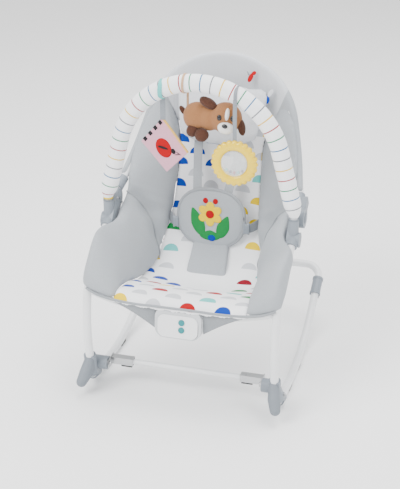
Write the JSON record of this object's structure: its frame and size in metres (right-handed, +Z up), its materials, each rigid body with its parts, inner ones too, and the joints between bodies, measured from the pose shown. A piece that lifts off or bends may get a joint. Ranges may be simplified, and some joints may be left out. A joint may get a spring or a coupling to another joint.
{
  "type": "bouncer seat",
  "caption": "Infant bouncer seat on a white tube rocker frame with reclining padded back, harness plate, arched toy bar with hanging toys and a vibration unit.",
  "frame": {"origin": "on the floor, in the middle of the footprint", "axes": "+Z up, the seat faces -Y, X across the seat; left is the side at -X"},
  "size_m": [0.4778, 0.5646, 0.7266],
  "materials": {
    "white_paint": "satin powder coat",
    "grey_plastic": "fine moulded texture",
    "steel": "zinc plated",
    "rubber": "matte",
    "grey_fabric": "grey melange knit",
    "print_fabric": "white jersey with half-round dots",
    "pale_fabric": "pale grey jersey",
    "webbing": "woven webbing",
    "bar_fabric": "white jersey with thin coloured stripes",
    "bar_tube": "moulded",
    "flag_cloth": "pink cloth",
    "plush": "short pile",
    "yellow_plastic": "glossy",
    "clear_plastic": "clear plastic",
    "bead_plastic": "glossy",
    "unit_grey": "fine moulded texture",
    "unit_white": "smooth",
    "teal_plastic": "soft touch",
    "circuit": "solder mask",
    "brass": "bright"
  },
  "bodies": {
    "root": {"rocker_rail_left": "white_paint", "rocker_rail_right": "white_paint", "rear_base_tube": "white_paint", "rear_connector_left": "grey_plastic", "rear_connector_right": "grey_plastic", "rail_snap_pins": "steel", "rail_grip_pads": "rubber", "front_foot_left": "grey_plastic", "front_foot_right": "grey_plastic", "foot_shoe_left": "grey_plastic", "foot_shoe_right": "grey_plastic", "frame_screws": "steel", "cross_tube": "white_paint", "cross_tube_brackets": "steel", "bracket_rivets": "steel", "fold_stops": "rubber", "seat_side_tube_left": "white_paint", "seat_side_tube_right": "white_paint", "seat_front_tube": "white_paint", "side_hub_left": "grey_plastic", "side_hub_right": "grey_plastic", "hub_pivot_pins": "steel", "seat_panel": "print_fabric", "seat_bolster_left": "grey_fabric", "seat_bolster_right": "grey_fabric", "crotch_panel": "grey_fabric", "belly_plate": "grey_fabric", "waist_straps": "webbing", "waist_buckles": "grey_plastic", "unit_skirt": "grey_fabric", "control_housing": "unit_grey", "control_face": "unit_white", "control_board": "circuit", "battery": "brass", "battery_door": "unit_grey", "vibration_motor": "steel"},
    "backrest": {"hub_arm_left": "grey_plastic", "hub_arm_right": "grey_plastic", "seat_back_tube": "white_paint", "back_panel": "pale_fabric", "back_bolster_left": "grey_fabric", "back_bolster_right": "grey_fabric", "head_pillow": "pale_fabric", "shoulder_straps": "webbing"},
    "toy_bar": {"toy_bar_tube": "bar_tube", "toy_bar_sleeve": "bar_fabric", "toy_bar_plugs": "grey_plastic"},
    "flag": {"flag_strap": "webbing", "flag_toy": "flag_cloth"},
    "plush": {"plush_strap": "webbing", "plush_toy": "plush"},
    "rattle": {"ring_strap": "webbing", "rattle_ring": "yellow_plastic", "rattle_windows": "clear_plastic"},
    "beads": {"rattle_beads": "bead_plastic"},
    "recline_button_left": {"recline_button_left": "grey_plastic"},
    "recline_button_right": {"recline_button_right": "grey_plastic"},
    "button_upper": {"control_button_upper": "teal_plastic"},
    "button_lower": {"control_button_lower": "teal_plastic"},
    "motor_shaft": {"motor_weight": "brass"}
  },
  "joints": [
    {"name": "backrest_recline", "type": "hinge", "parent": "root", "child": "backrest", "pos_m": [0, -0.04131, 0.402], "axis": [-1, 0, 0], "range_deg": [0, 20]},
    {"name": "toy_bar_pull", "type": "slide", "parent": "root", "child": "toy_bar", "axis": [0, 0, 1], "range_m": [0, 0.045]},
    {"name": "flag_swing", "type": "hinge", "parent": "toy_bar", "child": "flag", "pos_m": [-0.083, -0.07931, 0.6649], "axis": [1, 0, 0], "range_deg": [-20, 25]},
    {"name": "plush_swing", "type": "hinge", "parent": "toy_bar", "child": "plush", "pos_m": [-0.032, -0.05801, 0.7], "axis": [1, 0, 0], "range_deg": [-5, 20]},
    {"name": "rattle_swing", "type": "hinge", "parent": "toy_bar", "child": "rattle", "pos_m": [0.086, -0.10061, 0.682], "axis": [1, 0, 0], "range_deg": [-25, 3]},
    {"name": "beads_roll", "type": "hinge", "parent": "rattle", "child": "beads", "pos_m": [0.086, -0.10061, 0.5395], "axis": [0, 1, 0], "range_deg": [-40, 40]},
    {"name": "recline_press_left", "type": "slide", "parent": "backrest", "child": "recline_button_left", "axis": [1, 0, 0], "range_m": [0, 0.002], "stiffness_N_per_m": 900},
    {"name": "recline_press_right", "type": "slide", "parent": "backrest", "child": "recline_button_right", "axis": [-1, 0, 0], "range_m": [0, 0.002], "stiffness_N_per_m": 900},
    {"name": "unit_press_upper", "type": "slide", "parent": "root", "child": "button_upper", "axis": [0, 0.9925, -0.1219], "range_m": [0, 0.0015], "stiffness_N_per_m": 600},
    {"name": "unit_press_lower", "type": "slide", "parent": "root", "child": "button_lower", "axis": [0, 0.9925, -0.1219], "range_m": [0, 0.0015], "stiffness_N_per_m": 600},
    {"name": "motor_spin", "type": "hinge", "parent": "root", "child": "motor_shaft", "pos_m": [0.032, -0.23344, 0.19658], "axis": [0, 0.1219, 0.9925], "continuous": true}
  ]
}
